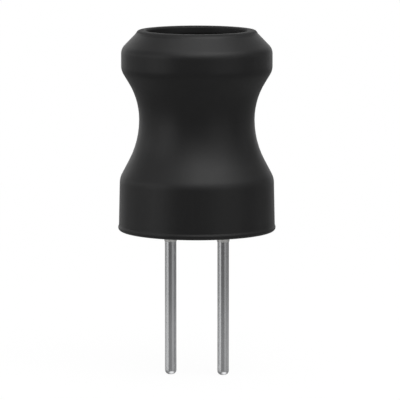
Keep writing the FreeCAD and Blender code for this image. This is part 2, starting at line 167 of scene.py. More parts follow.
class SurfaceBench(Bench):
    """Lays out a material's tree, with patterns on the piece's own coordinates."""

    def __init__(self, tree: bpy.types.NodeTree) -> None:
        """Clear a material's tree and start it with its shader.

        Args:
            tree: The material's node tree.
        """
        super().__init__(tree)
        tree.nodes.clear()
        self.shader = self.add("ShaderNodeBsdfPrincipled")
        self.add("ShaderNodeOutputMaterial", {"Surface": self.shader.outputs[0]})
        self.place = self.add("ShaderNodeTexCoord").outputs["Object"]

    def noise(
        self, per_mm: float, detail: float = 2.0, stretch: Triple = (1.0, 1.0, 1.0)
    ) -> bpy.types.NodeSocket:
        """A cloudy pattern from 0 to 1.

        Args:
            per_mm: Features in each millimetre.
            detail: Finer steps laid over the first.
            stretch: Share of that density along X, Y and Z.

        Returns:
            The pattern's socket.
        """
        spread = self.add("ShaderNodeMapping", {"Vector": self.place, "Scale": stretch})
        scale = per_mm / MM
        inputs = {"Vector": spread.outputs[0], "Scale": scale, "Detail": detail}
        return self.add("ShaderNodeTexNoise", inputs).outputs[0]

    def grains(self, per_mm: float) -> bpy.types.NodeSocket:
        """A pattern of cells, each with a shade of its own.

        Args:
            per_mm: Cells in each millimetre.

        Returns:
            The cells' shades as a colour socket.
        """
        inputs = {"Vector": self.place, "Scale": per_mm / MM}
        return self.add("ShaderNodeTexVoronoi", inputs).outputs["Color"]

    def tint(self, shade: Feed, dark: Colour, light: Colour) -> None:
        """Colour the surface between two tones.

        Args:
            shade: Where between the tones, from 0 to 1.
            dark: Tone at 0.
            light: Tone at 1.
        """
        inputs = {0: shade, 6: (*dark, 1.0), 7: (*light, 1.0)}
        mixed = self.add("ShaderNodeMix", inputs, data_type="RGBA")
        self.set("Base Color", mixed.outputs[2])

    def relief(self, reliefs: Sequence[tuple[bpy.types.NodeSocket, float]]) -> None:
        """Raise and lower the surface by patterns.

        Args:
            reliefs: Each pattern with its full height in millimetres.
        """
        normal: bpy.types.NodeSocket | None = None
        for height, depth in reliefs:
            inputs: dict[str, Feed] = {"Height": height, "Distance": depth * MM, "Strength": 1.0}
            if normal is not None:
                inputs["Normal"] = normal
            normal = self.add("ShaderNodeBump", inputs).outputs[0]
        if normal is not None:
            self.set("Normal", normal)

    def set(self, socket: str, value: Feed) -> None:
        """Fill one of the shader's sockets.

        Args:
            socket: The socket's name.
            value: An output socket, or a plain value.
        """
        self.feed(self.shader.inputs[socket], value)


@dataclass(frozen=True)
class Finish(ABC):
    """A surface finish: its material's name and the record's slot that it shows."""

    name: str
    slot: str

    def material(self) -> bpy.types.Material:
        """The finish as a material, made on first use.

        Returns:
            The material.
        """
        made = bpy.data.materials.get(self.name)
        if made is None:
            made = bpy.data.materials.new(self.name)
            made.use_nodes = True
            self.shade(SurfaceBench(made.node_tree))
        return made

    @abstractmethod
    def shade(self, bench: SurfaceBench) -> None:
        """Fill the material's tree.

        Args:
            bench: The tree, with its shader in place.
        """


@dataclass(frozen=True)
class ShrunkPolyolefin(Finish):
    """Black satin skin of a shrunk tube: extrusion lines, a fine grain and a duller cut rim."""

    name: str = "shrunk_black_polyolefin"
    slot: str = "tube_black"
    dark: Colour = (0.0075, 0.0075, 0.0079)
    light: Colour = (0.0110, 0.0110, 0.0112)
    roughness: Span = (0.41, 0.50)
    refraction: float = 1.41
    clouds_per_mm: float = 0.18
    lines_per_mm: float = 2.6
    line_stretch: Triple = (1.0, 1.0, 0.02)
    line_height: float = 0.0030
    grains_per_mm: float = 11.0
    grain_height: float = 0.0035
    rim_dullness: float = 0.24
    rim_rise: Span = (19.02, 19.20)

    def shade(self, bench: SurfaceBench) -> None:
        """Lay out clouds, extrusion lines and a fine grain, and a duller surface at the rim."""
        height = bench.add("ShaderNodeSeparateXYZ", {0: bench.place}).outputs[2]
        rim = bench.ease(height, *metres(self.rim_rise))
        clouds = bench.noise(self.clouds_per_mm, detail=3.0)
        lines = bench.noise(self.lines_per_mm, stretch=self.line_stretch)
        grain = bench.noise(self.grains_per_mm)
        satin = bench.span(lines, *self.roughness)
        bench.tint(clouds, self.dark, self.light)
        bench.set("Roughness", bench.math("MULTIPLY_ADD", rim, self.rim_dullness, satin))
        bench.set("IOR", self.refraction)
        bench.relief([(lines, self.line_height), (grain, self.grain_height)])


@dataclass(frozen=True)
class SinteredFerrite(Finish):
    """Dark grey pressed and sintered ferrite: grains, pores and a dull face."""

    name: str = "sintered_ferrite"
    slot: str = "ferrite"
    dark: Colour = (0.040, 0.040, 0.043)
    light: Colour = (0.098, 0.096, 0.098)
    roughness: Span = (0.48, 0.66)
    grains_per_mm: float = 7.0
    grain_share: float = 0.45
    grain_height: float = 0.006
    clouds_per_mm: float = 0.7
    pores_per_mm: float = 3.4
    pore_level: float = 0.46
    pore_softness: float = 0.06
    pore_depth: float = 0.05

    def shade(self, bench: SurfaceBench) -> None:
        """Lay out grains and clouds, with pores sunk in."""
        grains = bench.grains(self.grains_per_mm)
        clouds = bench.noise(self.clouds_per_mm, detail=5.0)
        pores = bench.noise(self.pores_per_mm, detail=4.0)
        cloudy = bench.math("MULTIPLY", clouds, 1 - self.grain_share)
        shade = bench.math("MULTIPLY_ADD", grains, self.grain_share, cloudy)
        bench.tint(shade, self.dark, self.light)
        bench.set("Roughness", bench.span(grains, *self.roughness))
        pits = bench.math("SMOOTH_MIN", pores, self.pore_level, self.pore_softness)
        bench.relief([(pits, self.pore_depth), (grains, self.grain_height)])


@dataclass(frozen=True)
class EnamelledCopper(Finish):
    """Copper wire under clear enamel, with faint drawing lines."""

    name: str = "enamelled_copper_wire"
    slot: str = "enamelled_copper"
    dark: Colour = (0.50, 0.19, 0.065)
    light: Colour = (0.68, 0.30, 0.12)
    roughness: Span = (0.22, 0.36)
    enamel: float = 0.8
    enamel_roughness: float = 0.10
    clouds_per_mm: float = 0.9
    waves_per_mm: float = 9.0
    wave_height: float = 0.002

    def shade(self, bench: SurfaceBench) -> None:
        """Lay out cloudy copper under a clear coat."""
        clouds = bench.noise(self.clouds_per_mm, detail=4.0)
        bench.tint(clouds, self.dark, self.light)
        bench.set("Metallic", 1.0)
        bench.set("Roughness", bench.span(clouds, *self.roughness))
        bench.set("Coat Weight", self.enamel)
        bench.set("Coat Roughness", self.enamel_roughness)
        bench.relief([(bench.noise(self.waves_per_mm), self.wave_height)])


@dataclass(frozen=True)
class DrawnTinnedWire(Finish):
    """Tinned lead wire: lengthwise drawing lines and small dull patches."""

    name: str = "drawn_tinned_wire"
    slot: str = "tinned_lead"
    dark: Colour = (0.525, 0.53, 0.54)
    light: Colour = (0.63, 0.635, 0.645)
    roughness: Span = (0.13, 0.22)
    lines_per_mm: float = 9.0
    line_stretch: Triple = (1.0, 1.0, 0.03)
    line_height: float = 0.0008
    line_share: float = 0.5
    patches_per_mm: float = 1.1
    patch_stretch: Triple = (1.0, 1.0, 0.35)
    patch_height: float = 0.0015

    def shade(self, bench: SurfaceBench) -> None:
        """Lay out drawing lines and dull patches on bright metal."""
        lines = bench.noise(self.lines_per_mm, detail=3.0, stretch=self.line_stretch)
        patches = bench.noise(self.patches_per_mm, detail=4.0, stretch=self.patch_stretch)
        bench.tint(patches, self.dark, self.light)
        bench.set("Metallic", 1.0)
        patchy = bench.math("MULTIPLY", patches, 1 - self.line_share)
        mixed = bench.math("MULTIPLY_ADD", lines, self.line_share, patchy)
        bench.set("Roughness", bench.span(mixed, *self.roughness))
        bench.relief([(lines, self.line_height), (patches, self.patch_height)])


@dataclass(frozen=True)
class TinSolder(Finish):
    """Bright tin solder with slight frosting and flow ripples."""

    name: str = "tin_solder"
    slot: str = "solder"
    dark: Colour = (0.56, 0.56, 0.55)
    light: Colour = (0.74, 0.74, 0.72)
    roughness: Span = (0.14, 0.34)
    frost_per_mm: float = 3.2
    ripples_per_mm: float = 1.6
    ripple_height: float = 0.02
    grains_per_mm: float = 14.0
    grain_height: float = 0.002

    def shade(self, bench: SurfaceBench) -> None:
        """Lay out frost, flow ripples and a fine grain on bright metal."""
        frost = bench.noise(self.frost_per_mm, detail=4.0)
        bench.tint(frost, self.dark, self.light)
        bench.set("Metallic", 1.0)
        bench.set("Roughness", bench.span(frost, *self.roughness))
        ripples = bench.noise(self.ripples_per_mm)
        grains = bench.noise(self.grains_per_mm, detail=1.0)
        bench.relief([(ripples, self.ripple_height), (grains, self.grain_height)])


@dataclass(frozen=True)
class CuredAdhesive(Finish):
    """Amber-brown cured adhesive with flow marks."""

    name: str = "cured_adhesive"
    slot: str = "adhesive"
    dark: Colour = (0.085, 0.048, 0.020)
    light: Colour = (0.16, 0.095, 0.042)
    roughness: Span = (0.22, 0.38)
    marks_per_mm: float = 1.4
    mark_height: float = 0.02

    def shade(self, bench: SurfaceBench) -> None:
        """Lay out the flow marks."""
        marks = bench.noise(self.marks_per_mm, detail=3.0)
        bench.tint(marks, self.dark, self.light)
        bench.set("Roughness", bench.span(marks, *self.roughness))
        bench.relief([(marks, self.mark_height)])


@dataclass(frozen=True)
class Corner:
    """A corner of an outline: distance from the axis, height and bend radius."""

    across: float
    up: float
    bend: float = 0.0

    def spot(self) -> Vector:
        """The corner's place in the outline's plane."""
        return Vector((self.across, self.up))


@dataclass(frozen=True)
class Outline:
    """Straight sides through corners, each rounded by an arc that is tangent to both sides."""

    corners: tuple[Corner, ...]
    closed: bool = True
    step: float = 0.25
    arc_step: float = 5.0

    def points(self) -> list[Vector]:
        """Points along the outline, close enough together for a smooth surface.

        Returns:
            The points in order.
        """
        runs: list[list[Vector]] = [self.rounded(index) for index in range(len(self.corners))]
        if self.closed:
            runs.append([runs[0][0]])
        found = list(runs[0])
        for run in runs[1:]:
            found += self.straight(found[-1], run[0])[1:]
            found += run[1:]
        return found[:-1] if self.closed else found

    def straight(self, start: Vector, end: Vector) -> list[Vector]:
        """Points on a straight side.

        Args:
            start: Where it starts.
            end: Where it ends.

        Returns:
            Its points, both ends among them.
        """
        count = max(1, math.ceil((end - start).length / self.step))
        return [start.lerp(end, index / count) for index in range(count + 1)]

    def rounded(self, index: int) -> list[Vector]:
        """Points on the arc round one corner, or the corner itself where it is sharp.

        Args:
            index: The corner's number.

        Returns:
            The points in order.
        """
        corner = self.corners[index]
        spot = corner.spot()
        if corner.bend == 0:
            return [spot]
        back = (self.corners[index - 1].spot() - spot).normalized()
        ahead = (self.corners[(index + 1) % len(self.corners)].spot() - spot).normalized()
        half = back.angle(ahead) / 2
        start = spot + back * (corner.bend / math.tan(half))
        middle = spot + (back + ahead).normalized() * (corner.bend / math.sin(half))
        sweep = math.pi - 2 * half
        turn = 1.0 if back.x * ahead.y - back.y * ahead.x < 0 else -1.0
        count = max(2, math.ceil(math.degrees(sweep) / self.arc_step))
        arm = start - middle
        found = []
        for place in range(count + 1):
            angle = turn * sweep * place / count
            found.append(middle + Vector((
                arm.x * math.cos(angle) - arm.y * math.sin(angle),
                arm.x * math.sin(angle) + arm.y * math.cos(angle),
            )))
        return found


def rise(value: float, start: float, end: float) -> float:
    """Turn a value into an even rise from 0 to 1.

    Args:
        value: The number to turn.
        start: Where the rise starts.
        end: Where it ends.

    Returns:
        How far along the rise the value is.
    """
    return min(1.0, max(0.0, (value - start) / (end - start)))


class GeometryTree(Bench):
    """A Geometry Nodes tree with named inputs, which ends in Realize Instances and Set Material."""

    def __init__(self, name: str, sizes: Mapping[str, str]) -> None:
        """Start the tree with its inputs.

        Args:
            name: The tree's name.
            sizes: Each input's name and kind: Float, Int or Material.
        """
        super().__init__(bpy.data.node_groups.new(name, "GeometryNodeTree"))
        face = self.tree.interface
        face.new_socket(name="Geometry", in_out="INPUT", socket_type="NodeSocketGeometry")
        for label, kind in sizes.items():
            face.new_socket(name=label, in_out="INPUT", socket_type=f"NodeSocket{kind}")
        face.new_socket(name="Geometry", in_out="OUTPUT", socket_type="NodeSocketGeometry")
        self.entry = self.add("NodeGroupInput").outputs

    def close(self, shape: bpy.types.NodeSocket) -> None:
        """Smooth the shape, realize it, give it its finish and hand it out.

        Args:
            shape: The finished geometry.
        """
        smooth = self.add("GeometryNodeSetShadeSmooth", {"Geometry": shape})
        real = self.add("GeometryNodeRealizeInstances", {0: smooth.outputs[0]})
        inputs = {"Geometry": real.outputs[0], "Material": self.entry["Material"]}
        dressed = self.add("GeometryNodeSetMaterial", inputs)
        self.add("NodeGroupOutput", {0: dressed.outputs[0]})

    def run(self, name: str, base: bpy.types.Mesh, values: Mapping[str, Feed]) -> bpy.types.Object:
        """Run the tree on a mesh and keep the result as a plain mesh.

        Args:
            name: The new piece's name.
            base: The mesh that the tree starts from.
            values: What each named input is set to.

        Returns:
            The piece, at the origin, with its place in its mesh.
        """
        carrier = bpy.data.objects.new(name, base)
        bpy.context.scene.collection.objects.link(carrier)
        modifier = carrier.modifiers.new("shape", "NODES")
        modifier.node_group = self.tree
        for item in self.tree.interface.items_tree:
            if item.in_out == "INPUT" and item.name in values:
                modifier[item.identifier] = values[item.name]
        bpy.context.view_layer.update()
        graph = bpy.context.evaluated_depsgraph_get()
        made = bpy.data.meshes.new_from_object(carrier.evaluated_get(graph), depsgraph=graph)
        carrier.modifiers.remove(modifier)
        carrier.data = made
        made.name = name
        return carrier


class TurnedWall(GeometryTree):
    """Turns an outline about the upright axis, with a slight wander of the free surface."""

    FREE = "free"
    WELD = 1e-7

    def __init__(self) -> None:
        """Build the tree."""
        super().__init__("turned_wall", {
            "Segments": "Int", "Closed": "Int", "Place": "Float", "Wander": "Float",
            "Wander Scale": "Float", "Seed": "Float", "Material": "Material",
        })
        outline = self.entry["Geometry"]
        count = self.add("GeometryNodeAttributeDomainSize", {0: outline}).outputs[0]
        rows = self.math("ADD", count, self.entry["Closed"])
        columns = self.math("ADD", self.entry["Segments"], 1.0)
        grid = self.add("GeometryNodeMeshGrid", {"Vertices X": columns, "Vertices Y": rows}).outputs[0]
        index = self.add("GeometryNodeInputIndex").outputs[0]
        column = self.math("FLOOR", self.math("DIVIDE", index, rows))
        row = self.math("SUBTRACT", index, self.math("MULTIPLY", column, rows))
        spot = self.math("FLOORED_MODULO", row, count)
        position = self.add("GeometryNodeInputPosition").outputs[0]
        point = self.sampled(outline, spot, "FLOAT_VECTOR", position)
        split = self.add("ShaderNodeSeparateXYZ", {0: point}).outputs
        angle = self.math("MULTIPLY", self.math("DIVIDE", column, self.entry["Segments"]), math.tau)
        along = self.math("MULTIPLY", split[0], self.math("COSINE", angle))
        across = self.math("MULTIPLY", split[0], self.math("SINE", angle))
        place = self.add("ShaderNodeCombineXYZ", {0: along, 1: across, 2: split[2]})
        turned = self.add("GeometryNodeSetPosition", {"Geometry": grid, "Position": place.outputs[0]})
        share = self.sampled(outline, spot, "FLOAT", self.freedom())
        kept = self.add("GeometryNodeStoreNamedAttribute", {
            "Geometry": turned.outputs[0], "Name": self.FREE, "Value": share,
        }, data_type="FLOAT", domain="POINT")
        inputs = {"Geometry": kept.outputs[0], "Distance": self.WELD}
        whole = self.add("GeometryNodeMergeByDistance", inputs).outputs[0]
        self.close(self.moved(self.wandered(whole)))

    def freedom(self) -> bpy.types.NodeSocket:
        """How far each point may wander, from 0 to 1, as the outline's points carry it."""
        return self.add("GeometryNodeInputNamedAttribute", {0: self.FREE}, data_type="FLOAT").outputs[0]

    def sampled(
        self,
        source: bpy.types.NodeSocket,
        spot: bpy.types.NodeSocket,
        kind: str,
        value: bpy.types.NodeSocket,
    ) -> bpy.types.NodeSocket:
        """Read a value from one of the outline's points.

        Args:
            source: The outline.
            spot: The point's number.
            kind: The value's data type.
            value: What to read there.

        Returns:
            The value's socket.
        """
        inputs = {"Geometry": source, "Value": value, "Index": spot}
        return self.add("GeometryNodeSampleIndex", inputs, data_type=kind, domain="POINT").outputs[0]

    def wandered(self, shape: bpy.types.NodeSocket) -> bpy.types.NodeSocket:
        """Let the free surface wander a little along its normal.

        Args:
            shape: The turned shape.

        Returns:
            The shape after that.
        """
        noise = self.add("ShaderNodeTexNoise", {
            "W": self.entry["Seed"], "Scale": self.entry["Wander Scale"], "Detail": 1.0,
        }, noise_dimensions="4D").outputs[0]
        share = self.math("MULTIPLY", self.freedom(), 2.0)
        swing = self.math("MULTIPLY", self.math("SUBTRACT", noise, 0.5), share)
        reach = self.math("MULTIPLY", swing, self.entry["Wander"])
        normal = self.add("GeometryNodeInputNormal").outputs[0]
        offset = self.add("ShaderNodeVectorMath", {0: normal, "Scale": reach}, operation="SCALE")
        inputs = {"Geometry": shape, "Offset": offset.outputs[0]}
        return self.add("GeometryNodeSetPosition", inputs).outputs[0]

    def moved(self, shape: bpy.types.NodeSocket) -> bpy.types.NodeSocket:
        """Move the shape along X to its axis.

        Args:
            shape: The shape on the frame's own axis.

        Returns:
            The shape in its place.
        """
        offset = self.add("ShaderNodeCombineXYZ", {0: self.entry["Place"]}).outputs[0]
        return self.add("GeometryNodeTransform", {"Geometry": shape, "Translation": offset}).outputs[0]


class WoundWire(GeometryTree):
    """Winds one wire in layers up and down round the post, and sweeps the wire ends as well.

    Where a layer starts, the wire stays level for EASE of a turn. Where it ends, the wire steps
    out to the next one in twice that.
    """

    EASE = 0.25

    def __init__(self) -> None:
        """Build the tree."""
        super().__init__("wound_wire", {
            "Layers": "Int", "Turns": "Int", "Points a Turn": "Int", "Sides": "Int",
            "First Radius": "Float", "Layer Rise": "Float", "First Height": "Float",
            "Turn Pitch": "Float", "Wire Radius": "Float", "Material": "Material",
        })
        entry = self.entry
        wound = self.math("SUBTRACT", self.math("MULTIPLY", entry["Layers"], entry["Turns"]), 0.5)
        count = self.math("ADD", self.math("MULTIPLY", wound, entry["Points a Turn"]), 1.0)
        line = self.add("GeometryNodeMeshLine", {"Count": count}).outputs[0]
        index = self.add("GeometryNodeInputIndex").outputs[0]
        turns = self.math("DIVIDE", index, entry["Points a Turn"])
        layer = self.math("FLOOR", self.math("DIVIDE", turns, entry["Turns"]))
        within = self.math("SUBTRACT", turns, self.math("MULTIPLY", layer, entry["Turns"]))
        place = self.add("ShaderNodeCombineXYZ", self.spot(turns, layer, within)).outputs[0]
        coil = self.add("GeometryNodeSetPosition", {"Geometry": line, "Position": place}).outputs[0]
        parts = self.add("GeometryNodeJoinGeometry")
        self.feed(parts.inputs[0], coil)
        self.feed(parts.inputs[0], entry["Geometry"])
        path = self.add("GeometryNodeMeshToCurve", {0: parts.outputs[0]}).outputs[0]
        section = self.add("GeometryNodeCurvePrimitiveCircle", {
            "Resolution": entry["Sides"], "Radius": entry["Wire Radius"],
        })
        swept = self.add("GeometryNodeCurveToMesh", {
            "Curve": path, "Profile Curve": section.outputs[0], "Fill Caps": True,
        })
        self.close(swept.outputs[0])

    def spot(
        self, turns: bpy.types.NodeSocket, layer: bpy.types.NodeSocket, within: bpy.types.NodeSocket
    ) -> dict[int, bpy.types.NodeSocket]:
        """Where the wire is after a number of turns.

        Args:
            turns: Turns wound so far.
            layer: Full layers among them.
            within: Turns of the layer that is being wound.

        Returns:
            The place along X, Y and Z.
        """
        entry = self.entry
        last = self.math("SUBTRACT", entry["Turns"], 1.0)
        started = self.math("MAXIMUM", self.math("SUBTRACT", within, self.EASE), 0.0)
        climb = self.math("MINIMUM", started, last)
        downward = self.math("MODULO", layer, 2.0)
        fall = self.math("SUBTRACT", last, self.math("MULTIPLY", climb, 2.0))
        steps = self.math("ADD", climb, self.math("MULTIPLY", downward, fall))
        height = self.math("MULTIPLY_ADD", steps, entry["Turn Pitch"], entry["First Height"])
        turnover = self.math("SUBTRACT", entry["Turns"], 2 * self.EASE)
        rising = self.math("DIVIDE", self.math("SUBTRACT", within, turnover), 2 * self.EASE)
        outward = self.math("ADD", layer, self.math("MAXIMUM", rising, 0.0))
        outward = self.math("MINIMUM", outward, self.math("SUBTRACT", entry["Layers"], 1.0))
        radius = self.math("MULTIPLY_ADD", outward, entry["Layer Rise"], entry["First Radius"])
        angle = self.math("MULTIPLY", turns, math.tau)
        return {
            0: self.math("MULTIPLY", radius, self.math("COSINE", angle)),
            1: self.math("MULTIPLY", radius, self.math("SINE", angle)),
            2: height,
        }


class Piece(ABC):
    """Something of the inductor that is shown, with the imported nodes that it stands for."""

    @abstractmethod
    def build(self) -> None:
        """Make the piece, dress it and tie it to the frame."""

    def settle(self, piece: bpy.types.Object, finish: Finish, *nodes: str) -> None:
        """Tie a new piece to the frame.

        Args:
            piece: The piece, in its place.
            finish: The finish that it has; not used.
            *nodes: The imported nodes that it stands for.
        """
        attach(piece, "root")
        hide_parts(*nodes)
        log.info("%s: %d faces, for %s", piece.name, len(piece.data.polygons), ", ".join(nodes))

    def dress(self, node: str, finish: Finish) -> None:
        """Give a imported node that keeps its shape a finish.

        Args:
            node: The node's name.
            finish: What it gets.
        """
        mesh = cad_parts[node].data
        mesh.materials.clear()
        mesh.materials.append(finish.material())
        log.info("%s: packed shape, finish %s", node, finish.name)


@dataclass
class Turned(Piece):
    """A piece whose shape is an outline turned about an upright axis, a little uneven where free."""

    turner: TurnedWall
    segments: int
    wander: float
    wander_per_mm: float
    seed: float
    finish: Finish

    @abstractmethod
    def outline(self) -> Outline:
        """The piece's outline: each point's distance from the axis, and its height."""

    @abstractmethod
    def freedom(self, spot: Vector) -> float:
        """How far a point of the surface may wander.

        Args:
            spot: The point, in the outline's plane.

        Returns:
            Its freedom, from 0 to 1.
        """

    def turn(self, name: str, node: str, side: int = 0) -> None:
        """Turn the outline and tie the piece to the frame.

        Args:
            name: The piece's name.
            node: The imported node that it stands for.
            side: The sign of its lead's place along X, or 0 on the drum's axis.
        """
        outline = self.outline()
        spots = outline.points()
        count = len(spots)
        base = bpy.data.meshes.new(f"{name}_outline")
        edges = [(index, (index + 1) % count) for index in range(count if outline.closed else count - 1)]
        base.from_pydata([(spot.x * MM, 0.0, spot.y * MM) for spot in spots], edges, [])
        share = base.attributes.new(TurnedWall.FREE, "FLOAT", "POINT")
        share.data.foreach_set("value", [self.freedom(spot) for spot in spots])
        piece = self.turner.run(name, base, {
            "Segments": self.segments, "Closed": int(outline.closed), "Place": side * LEAD_PLACE * MM,
            "Wander": self.wander * MM, "Wander Scale": self.wander_per_mm / MM,
            "Seed": self.seed + side, "Material": self.finish.material(),
        })
        self.settle(piece, self.finish, node)


@dataclass
class HeatShrinkTube(Turned):
    """The black tube: hem bead, base band, waist, upper band, cone and open mouth."""

    hem_bead: float = 7.57
    bead_height: float = 0.38
    bead_round: float = 0.30
    hem: float = 7.50
    hem_height: float = 0.56
    crease_round: float = 0.05
    shoulder: float = 7.40
    shoulder_height: float = 5.075
    shoulder_bend: float = 1.81
    waist: float = 5.54
    waist_span: Span = (8.61, 12.61)
    waist_bends: Span = (8.34, 6.78)
    upper_band: float = 7.25
    band_span: Span = (15.425, 17.484)
    band_bends: Span = (1.61, 1.10)
    knee: float = 5.883
    knee_height: float = 18.90
    knee_bend: float = 0.40
    mouth: float = 5.643
    mouth_height: float = 19.27
    lip_height: float = 0.75
    lip_round: float = 0.30
    rim_wall: float = 0.82
    rim_round: float = 0.36
    rim_inner_round: float = 0.20
    band_wall: float = 0.63
    waist_wall: float = 0.85
    inner_shoulder_height: float = 4.91
    inner_shoulder_bend: float = 1.18
    inner_waist_bends: Span = (7.84, 6.47)
    inner_band_span: Span = (15.61, 17.23)
    inner_band_bends: Span = (0.99, 0.47)
    segments: int = 240
    wander: float = 0.012
    wander_per_mm: float = 0.16
    seed: float = 4.0
    held_inside: Span = (8.0, 13.5)
    hem_margin: Span = (0.5, 2.0)
    rim_margin: Span = (0.3, 1.3)
    finish: Finish = field(default_factory=ShrunkPolyolefin)

    def outside(self) -> tuple[Corner, ...]:
        """Corners of the outer surface, from the hem up."""
        return (
            Corner(self.hem_bead, 0.0, self.bead_round),
            Corner(self.hem_bead, self.bead_height, self.crease_round),
            Corner(self.hem, self.hem_height, self.crease_round),
            Corner(self.shoulder, self.shoulder_height, self.shoulder_bend),
            Corner(self.waist, self.waist_span[0], self.waist_bends[0]),
            Corner(self.waist, self.waist_span[1], self.waist_bends[1]),
            Corner(self.upper_band, self.band_span[0], self.band_bends[0]),
            Corner(self.upper_band, self.band_span[1], self.band_bends[1]),
            Corner(self.knee, self.knee_height, self.knee_bend),
            Corner(self.mouth, self.mouth_height, self.rim_round),
        )

    def inside(self) -> tuple[Corner, ...]:
        """Corners of the inner surface, from the mouth down."""
        lip = self.mouth - self.rim_wall
        band = self.upper_band - self.band_wall
        waist = self.waist - self.waist_wall
        return (
            Corner(lip, self.mouth_height, self.rim_inner_round),
            Corner(lip, self.mouth_height - self.lip_height, self.lip_round),
            Corner(band, self.inner_band_span[1], self.inner_band_bends[1]),
            Corner(band, self.inner_band_span[0], self.inner_band_bends[0]),
            Corner(waist, self.waist_span[1], self.inner_waist_bends[1]),
            Corner(waist, self.waist_span[0], self.inner_waist_bends[0]),
            Corner(self.shoulder - self.band_wall, self.inner_shoulder_height, self.inner_shoulder_bend),
            Corner(self.hem - self.band_wall, 0.0),
        )

    def build(self) -> None:
        """Turn the wall and tie it to the frame."""
        self.turn("heat_shrink_tube_wall", "heat_shrink_tube")

    def outline(self) -> Outline:
        """The wall's outline, up its outer surface and down its inner one."""
        return Outline(self.outside() + self.inside())

    def freedom(self, spot: Vector) -> float:
        """How far a point may wander: not at all on the winding, at the hem or at the rim."""
        low, high = self.held_inside
        if low < spot.y < high and spot.x < self.waist - self.waist_wall / 2:
            return 0.0
        above_hem = rise(spot.y, *self.hem_margin)
        return above_hem * rise(self.mouth_height - spot.y, *self.rim_margin)


@dataclass
class Drum(Piece):
    """The ferrite drum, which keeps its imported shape."""

    finish: Finish = field(default_factory=SinteredFerrite)

    def build(self) -> None:
        """Dress the drum."""
        self.dress("drum_core", self.finish)


@dataclass
class Winding(Piece):
    """The enamelled wire: layers round the post and two ends hooked round the leads."""

    winder: WoundWire
    wire_radius: float = 0.25
    first_radius: float = 3.07
    layer_rise: float = 0.45
    layers: int = 4
    turns: int = 20
    turn_pitch: float = 0.52
    first_height: float = 5.27
    tail_place: float = 6.05
    tail_bend: float = 0.60
    tail_height: float = 0.28
    hook_radius: float = 0.70
    hook_angle: float = 235.0
    hook_step: float = 12.0
    bend_step: float = 7.5
    points_a_turn: int = 40
    sides: int = 12
    finish: Finish = field(default_factory=EnamelledCopper)

    def build(self) -> None:
        """Wind the wire, sweep its ends and tie the whole to the frame."""
        spots: list[Vector] = []
        edges: list[tuple[int, int]] = []
        last = self.first_radius + (self.layers - 1) * self.layer_rise
        for side, radius in ((Side.RIGHT, self.first_radius), (Side.LEFT, last)):
            path = self.end_path(side, radius)
            edges += [(len(spots) + index, len(spots) + index + 1) for index in range(len(path) - 1)]
            spots += path
        base = bpy.data.meshes.new("wire_ends")
        base.from_pydata([spot * MM for spot in spots], edges, [])
        winding = self.winder.run("enamelled_winding", base, {
            "Layers": self.layers, "Turns": self.turns, "Points a Turn": self.points_a_turn,
            "Sides": self.sides, "First Radius": self.first_radius * MM,
            "Layer Rise": self.layer_rise * MM, "First Height": self.first_height * MM,
            "Turn Pitch": self.turn_pitch * MM, "Wire Radius": self.wire_radius * MM,
            "Material": self.finish.material(),
        })
        self.settle(winding, self.finish, "winding")

    def end_path(self, side: Side, radius: float) -> list[Vector]:
        """The way of one wire end, from inside the winding to the end of its hook.

        Args:
            side: Which lead it goes to.
            radius: Radius of the layer that it leaves.

        Returns:
            Its points. The left end is the right one turned half round.
        """
        drop = Outline((
            Corner(radius, self.first_height),
            Corner(self.tail_place, self.first_height, self.tail_bend),
            Corner(self.tail_place, self.tail_height, self.tail_bend),
            Corner(LEAD_PLACE, self.tail_height),
        ), closed=False, arc_step=self.bend_step)
        path = [Vector((spot.x, self.hook_radius, spot.y)) for spot in drop.points()]
        count = round(self.hook_angle / self.hook_step)
        for place in range(1, count + 1):
            angle = math.radians(90 + self.hook_angle * place / count)
            path.append(Vector((
                LEAD_PLACE + self.hook_radius * math.cos(angle),
                self.hook_radius * math.sin(angle),
                self.tail_height,
            )))
        turn = side.value
        return [Vector((spot.x * turn, spot.y * turn, spot.z)) for spot in path]


@dataclass
class Lead(Turned):
    """One lead: neck in the drum, step, free stretch and rounded tip, held by its adhesive."""

    side: Side = Side.LEFT
    tip_height: float = -14.1
    tip_round: float = 0.42
    step_round: float = 0.04
    neck_top: float = 3.45
    neck_chamfer: float = 0.08
    segments: int = 72
    wander: float = 0.004
    wander_span: Span = (-13.3, -1.4)
    wander_per_mm: float = 0.35
    seed: float = 2.0
    finish: Finish = field(default_factory=DrawnTinnedWire)
    adhesive: Finish = field(default_factory=CuredAdhesive)

    def build(self) -> None:
        """Turn the lead, tie it to the frame and dress its adhesive."""
        label = self.side.label
        self.turn(f"tinned_lead_{label}", f"lead_pin_{label}", self.side.value)
        self.dress(f"lead_adhesive_{label}", self.adhesive)

    def outline(self) -> Outline:
        """The lead's outline, from the tip up to the neck's end."""
        return Outline((
            Corner(0.0, self.tip_height),
            Corner(LEAD_RADIUS, self.tip_height, self.tip_round),
            Corner(LEAD_RADIUS, NECK_STEP[0], self.step_round),
            Corner(NECK_RADIUS, NECK_STEP[1], self.step_round),
            Corner(NECK_RADIUS, self.neck_top - self.neck_chamfer),
            Corner(NECK_RADIUS - self.neck_chamfer, self.neck_top),
            Corner(0.0, self.neck_top),
        ), closed=False)

    def freedom(self, spot: Vector) -> float:
        """How far a point may wander: only between the solder and the tip."""
        low, high = self.wander_span
        return float(low < spot.y < high)


